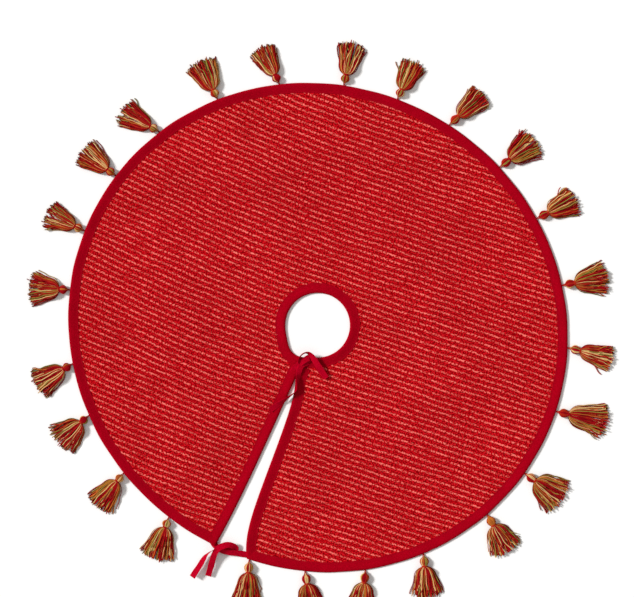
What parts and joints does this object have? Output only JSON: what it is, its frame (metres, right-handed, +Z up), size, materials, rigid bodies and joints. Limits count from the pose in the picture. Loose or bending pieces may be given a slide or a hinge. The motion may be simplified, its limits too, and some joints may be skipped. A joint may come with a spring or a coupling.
{
  "type": "tree skirt",
  "caption": "Round striped cloth tree skirt, lined and bound in tape, with a trunk hole, a slit closed by pairs of ties, and a fringe of yarn tassels.",
  "frame": {"origin": "middle of the laid skirt, on the floor", "axes": "+Z up, out of the skirt's striped face; the slit runs from the trunk hole to the hem along -Y; +X to the right of the slit seen from above"},
  "size_m": [1.455, 1.3974, 0.016],
  "materials": {
    "face_cloth": "ribbed handwoven cotton, red with pale broken stripes",
    "lining_cloth": "plain woven cotton, dark red",
    "binding_tape": "plain crimson cotton tape, matte",
    "tie_tape": "plain crimson cotton tape, folded and stitched",
    "tassel_cord": "twisted red yarn cord",
    "tassel_yarn": "mixed red, rust, gold and cream cotton yarn"
  },
  "bodies": {
    "skirt": {"lining_panel": "lining_cloth", "face_panel": "face_cloth", "hem_binding": "binding_tape", "hole_binding": "binding_tape", "slit_binding_left": "binding_tape", "slit_binding_right": "binding_tape", "outer_tie_left": "tie_tape", "outer_tie_right": "tie_tape", "inner_tie_left": "tie_tape", "inner_tie_right": "tie_tape"},
    "tassel_01_swing": {"tassel_01_loop": "tassel_cord"},
    "tassel_01": {"tassel_01_bundle": "tassel_yarn"},
    "tassel_02_swing": {"tassel_02_loop": "tassel_cord"},
    "tassel_02": {"tassel_02_bundle": "tassel_yarn"},
    "tassel_03_swing": {"tassel_03_loop": "tassel_cord"},
    "tassel_03": {"tassel_03_bundle": "tassel_yarn"},
    "tassel_04_swing": {"tassel_04_loop": "tassel_cord"},
    "tassel_04": {"tassel_04_bundle": "tassel_yarn"},
    "tassel_05_swing": {"tassel_05_loop": "tassel_cord"},
    "tassel_05": {"tassel_05_bundle": "tassel_yarn"},
    "tassel_06_swing": {"tassel_06_loop": "tassel_cord"},
    "tassel_06": {"tassel_06_bundle": "tassel_yarn"},
    "tassel_07_swing": {"tassel_07_loop": "tassel_cord"},
    "tassel_07": {"tassel_07_bundle": "tassel_yarn"},
    "tassel_08_swing": {"tassel_08_loop": "tassel_cord"},
    "tassel_08": {"tassel_08_bundle": "tassel_yarn"},
    "tassel_09_swing": {"tassel_09_loop": "tassel_cord"},
    "tassel_09": {"tassel_09_bundle": "tassel_yarn"},
    "tassel_10_swing": {"tassel_10_loop": "tassel_cord"},
    "tassel_10": {"tassel_10_bundle": "tassel_yarn"},
    "tassel_11_swing": {"tassel_11_loop": "tassel_cord"},
    "tassel_11": {"tassel_11_bundle": "tassel_yarn"},
    "tassel_12_swing": {"tassel_12_loop": "tassel_cord"},
    "tassel_12": {"tassel_12_bundle": "tassel_yarn"},
    "tassel_13_swing": {"tassel_13_loop": "tassel_cord"},
    "tassel_13": {"tassel_13_bundle": "tassel_yarn"},
    "tassel_14_swing": {"tassel_14_loop": "tassel_cord"},
    "tassel_14": {"tassel_14_bundle": "tassel_yarn"},
    "tassel_15_swing": {"tassel_15_loop": "tassel_cord"},
    "tassel_15": {"tassel_15_bundle": "tassel_yarn"},
    "tassel_16_swing": {"tassel_16_loop": "tassel_cord"},
    "tassel_16": {"tassel_16_bundle": "tassel_yarn"},
    "tassel_17_swing": {"tassel_17_loop": "tassel_cord"},
    "tassel_17": {"tassel_17_bundle": "tassel_yarn"},
    "tassel_18_swing": {"tassel_18_loop": "tassel_cord"},
    "tassel_18": {"tassel_18_bundle": "tassel_yarn"},
    "tassel_19_swing": {"tassel_19_loop": "tassel_cord"},
    "tassel_19": {"tassel_19_bundle": "tassel_yarn"},
    "tassel_20_swing": {"tassel_20_loop": "tassel_cord"},
    "tassel_20": {"tassel_20_bundle": "tassel_yarn"},
    "tassel_21_swing": {"tassel_21_loop": "tassel_cord"},
    "tassel_21": {"tassel_21_bundle": "tassel_yarn"},
    "tassel_22_swing": {"tassel_22_loop": "tassel_cord"},
    "tassel_22": {"tassel_22_bundle": "tassel_yarn"},
    "tassel_23_swing": {"tassel_23_loop": "tassel_cord"},
    "tassel_23": {"tassel_23_bundle": "tassel_yarn"},
    "tassel_24_swing": {"tassel_24_loop": "tassel_cord"},
    "tassel_24": {"tassel_24_bundle": "tassel_yarn"}
  },
  "joints": [
    {"name": "tassel_01_swing", "type": "hinge", "parent": "skirt", "child": "tassel_01_swing", "pos_m": [0.06379, -0.59689, 0.0029], "axis": [0, 0, 1], "range_deg": [-40, 14]},
    {"name": "tassel_01_lift", "type": "hinge", "parent": "tassel_01_swing", "child": "tassel_01", "pos_m": [0.06698, -0.6061, 0.008], "axis": [-0.9449, -0.3272, 0], "range_deg": [0, 110]},
    {"name": "tassel_02_swing", "type": "hinge", "parent": "skirt", "child": "tassel_02_swing", "pos_m": [0.2018, -0.56987, 0.0029], "axis": [0, 0, 1], "range_deg": [-39.6, 14.4]},
    {"name": "tassel_02_lift", "type": "hinge", "parent": "tassel_02_swing", "child": "tassel_02", "pos_m": [0.20698, -0.57812, 0.008], "axis": [-0.8471, -0.5314, 0], "range_deg": [0, 110]},
    {"name": "tassel_03_swing", "type": "hinge", "parent": "skirt", "child": "tassel_03_swing", "pos_m": [0.33766, -0.51014, 0.0029], "axis": [0, 0, 1], "range_deg": [-9.4, 44.6]},
    {"name": "tassel_03_lift", "type": "hinge", "parent": "tassel_03_swing", "child": "tassel_03", "pos_m": [0.34033, -0.51952, 0.008], "axis": [-0.9617, -0.274, 0], "range_deg": [0, 110]},
    {"name": "tassel_04_swing", "type": "hinge", "parent": "skirt", "child": "tassel_04_swing", "pos_m": [0.45488, -0.41829, 0.0029], "axis": [0, 0, 1], "range_deg": [-7, 47]},
    {"name": "tassel_04_lift", "type": "hinge", "parent": "tassel_04_swing", "child": "tassel_04", "pos_m": [0.45937, -0.42694, 0.008], "axis": [-0.8878, -0.4602, 0], "range_deg": [0, 110]},
    {"name": "tassel_05_swing", "type": "hinge", "parent": "skirt", "child": "tassel_05_swing", "pos_m": [0.56397, -0.26779, 0.0029], "axis": [0, 0, 1], "range_deg": [-15, 39]},
    {"name": "tassel_05_lift", "type": "hinge", "parent": "tassel_05_swing", "child": "tassel_05", "pos_m": [0.57171, -0.27371, 0.008], "axis": [-0.6074, -0.7944, 0], "range_deg": [0, 110]},
    {"name": "tassel_06_swing", "type": "hinge", "parent": "skirt", "child": "tassel_06_swing", "pos_m": [0.61121, -0.13774, 0.0029], "axis": [0, 0, 1], "range_deg": [-27, 27]},
    {"name": "tassel_06_lift", "type": "hinge", "parent": "tassel_06_swing", "child": "tassel_06", "pos_m": [0.62072, -0.13988, 0.008], "axis": [-0.2198, -0.9755, 0], "range_deg": [0, 110]},
    {"name": "tassel_07_swing", "type": "hinge", "parent": "skirt", "child": "tassel_07_swing", "pos_m": [0.62411, 0.0338, 0.0029], "axis": [0, 0, 1], "range_deg": [-34.7, 19.3]},
    {"name": "tassel_07_lift", "type": "hinge", "parent": "tassel_07_swing", "child": "tassel_07", "pos_m": [0.63368, 0.03563, 0.008], "axis": [0.1874, -0.9823, 0], "range_deg": [0, 110]},
    {"name": "tassel_08_swing", "type": "hinge", "parent": "skirt", "child": "tassel_08_swing", "pos_m": [0.59094, 0.18973, 0.0029], "axis": [0, 0, 1], "range_deg": [-18.2, 35.8]},
    {"name": "tassel_08_lift", "type": "hinge", "parent": "tassel_08_swing", "child": "tassel_08", "pos_m": [0.60057, 0.19126, 0.008], "axis": [0.1564, -0.9877, 0], "range_deg": [0, 110]},
    {"name": "tassel_09_swing", "type": "hinge", "parent": "skirt", "child": "tassel_09_swing", "pos_m": [0.51877, 0.32795, 0.0029], "axis": [0, 0, 1], "range_deg": [-27.5, 26.5]},
    {"name": "tassel_09_lift", "type": "hinge", "parent": "tassel_09_swing", "child": "tassel_09", "pos_m": [0.52696, 0.33323, 0.008], "axis": [0.5417, -0.8406, 0], "range_deg": [0, 110]},
    {"name": "tassel_10_swing", "type": "hinge", "parent": "skirt", "child": "tassel_10_swing", "pos_m": [0.3973, 0.45704, 0.0029], "axis": [0, 0, 1], "range_deg": [-27, 27]},
    {"name": "tassel_10_lift", "type": "hinge", "parent": "tassel_10_swing", "child": "tassel_10", "pos_m": [0.40369, 0.46439, 0.008], "axis": [0.7547, -0.6561, 0], "range_deg": [0, 110]},
    {"name": "tassel_11_swing", "type": "hinge", "parent": "skirt", "child": "tassel_11_swing", "pos_m": [0.26398, 0.53886, 0.0029], "axis": [0, 0, 1], "range_deg": [-22.8, 31.2]},
    {"name": "tassel_11_lift", "type": "hinge", "parent": "tassel_11_swing", "child": "tassel_11", "pos_m": [0.2689, 0.54727, 0.008], "axis": [0.8634, -0.5045, 0], "range_deg": [0, 110]},
    {"name": "tassel_12_swing", "type": "hinge", "parent": "skirt", "child": "tassel_12_swing", "pos_m": [0.10899, 0.58805, 0.0029], "axis": [0, 0, 1], "range_deg": [-12.4, 41.6]},
    {"name": "tassel_12_lift", "type": "hinge", "parent": "tassel_12_swing", "child": "tassel_12", "pos_m": [0.11312, 0.59687, 0.008], "axis": [0.9056, -0.4242, 0], "range_deg": [0, 110]},
    {"name": "tassel_13_swing", "type": "hinge", "parent": "skirt", "child": "tassel_13_swing", "pos_m": [-0.03449, 0.59819, 0.0029], "axis": [0, 0, 1], "range_deg": [-21, 33]},
    {"name": "tassel_13_lift", "type": "hinge", "parent": "tassel_13_swing", "child": "tassel_13", "pos_m": [-0.03403, 0.60792, 0.008], "axis": [0.9989, -0.0471, 0], "range_deg": [0, 110]},
    {"name": "tassel_14_swing", "type": "hinge", "parent": "skirt", "child": "tassel_14_swing", "pos_m": [-0.17046, 0.57917, 0.0029], "axis": [0, 0, 1], "range_deg": [-20.5, 33.5]},
    {"name": "tassel_14_lift", "type": "hinge", "parent": "tassel_14_swing", "child": "tassel_14", "pos_m": [-0.17214, 0.58877, 0.008], "axis": [0.9851, 0.1719, 0], "range_deg": [0, 110]},
    {"name": "tassel_15_swing", "type": "hinge", "parent": "skirt", "child": "tassel_15_swing", "pos_m": [-0.31976, 0.51977, 0.0029], "axis": [0, 0, 1], "range_deg": [-44.5, 9.5]},
    {"name": "tassel_15_lift", "type": "hinge", "parent": "tassel_15_swing", "child": "tassel_15", "pos_m": [-0.32713, 0.52615, 0.008], "axis": [0.6547, 0.7559, 0], "range_deg": [0, 110]},
    {"name": "tassel_16_swing", "type": "hinge", "parent": "skirt", "child": "tassel_16_swing", "pos_m": [-0.44655, 0.42673, 0.0029], "axis": [0, 0, 1], "range_deg": [-27, 27]},
    {"name": "tassel_16_lift", "type": "hinge", "parent": "tassel_16_swing", "child": "tassel_16", "pos_m": [-0.4536, 0.43346, 0.008], "axis": [0.6909, 0.723, 0], "range_deg": [0, 110]},
    {"name": "tassel_17_swing", "type": "hinge", "parent": "skirt", "child": "tassel_17_swing", "pos_m": [-0.54901, 0.29685, 0.0029], "axis": [0, 0, 1], "range_deg": [-49, 5]},
    {"name": "tassel_17_lift", "type": "hinge", "parent": "tassel_17_swing", "child": "tassel_17", "pos_m": [-0.5587, 0.29794, 0.008], "axis": [0.1115, 0.9938, 0], "range_deg": [0, 110]},
    {"name": "tassel_18_swing", "type": "hinge", "parent": "skirt", "child": "tassel_18_swing", "pos_m": [-0.60657, 0.15574, 0.0029], "axis": [0, 0, 1], "range_deg": [-27, 27]},
    {"name": "tassel_18_lift", "type": "hinge", "parent": "tassel_18_swing", "child": "tassel_18", "pos_m": [-0.61601, 0.15816, 0.008], "axis": [0.2487, 0.9686, 0], "range_deg": [0, 110]},
    {"name": "tassel_19_swing", "type": "hinge", "parent": "skirt", "child": "tassel_19_swing", "pos_m": [-0.62642, 0, 0.0029], "axis": [0, 0, 1], "range_deg": [-24, 30]},
    {"name": "tassel_19_lift", "type": "hinge", "parent": "tassel_19_swing", "child": "tassel_19", "pos_m": [-0.63616, 0.00051, 0.008], "axis": [0.0523, 0.9986, 0], "range_deg": [0, 110]},
    {"name": "tassel_20_swing", "type": "hinge", "parent": "skirt", "child": "tassel_20_swing", "pos_m": [-0.60361, -0.14938, 0.0029], "axis": [0, 0, 1], "range_deg": [-33, 21]},
    {"name": "tassel_20_lift", "type": "hinge", "parent": "tassel_20_swing", "child": "tassel_20", "pos_m": [-0.61278, -0.1527, 0.008], "axis": [-0.3404, 0.9403, 0], "range_deg": [0, 110]},
    {"name": "tassel_21_swing", "type": "hinge", "parent": "skirt", "child": "tassel_21_swing", "pos_m": [-0.52648, -0.31634, 0.0029], "axis": [0, 0, 1], "range_deg": [-50, 4]},
    {"name": "tassel_21_lift", "type": "hinge", "parent": "tassel_21_swing", "child": "tassel_21", "pos_m": [-0.53221, -0.32423, 0.008], "axis": [-0.809, 0.5878, 0], "range_deg": [0, 110]},
    {"name": "tassel_22_swing", "type": "hinge", "parent": "skirt", "child": "tassel_22_swing", "pos_m": [-0.4404, -0.41938, 0.0029], "axis": [0, 0, 1], "range_deg": [-40, 6]},
    {"name": "tassel_22_lift", "type": "hinge", "parent": "tassel_22_swing", "child": "tassel_22", "pos_m": [-0.44458, -0.42819, 0.008], "axis": [-0.9033, 0.4289, 0], "range_deg": [0, 110]},
    {"name": "tassel_23_swing", "type": "hinge", "parent": "skirt", "child": "tassel_23_swing", "pos_m": [-0.30612, -0.51762, 0.0029], "axis": [0, 0, 1], "range_deg": [-42, 12]},
    {"name": "tassel_23_lift", "type": "hinge", "parent": "tassel_23_swing", "child": "tassel_23", "pos_m": [-0.30874, -0.52701, 0.008], "axis": [-0.9632, 0.2689, 0], "range_deg": [0, 110]},
    {"name": "tassel_24_swing", "type": "hinge", "parent": "skirt", "child": "tassel_24_swing", "pos_m": [-0.16087, -0.57617, 0.0029], "axis": [0, 0, 1], "range_deg": [-48, 6]},
    {"name": "tassel_24_lift", "type": "hinge", "parent": "tassel_24_swing", "child": "tassel_24", "pos_m": [-0.15995, -0.58587, 0.008], "axis": [-0.9956, -0.0941, 0], "range_deg": [0, 110]}
  ]
}
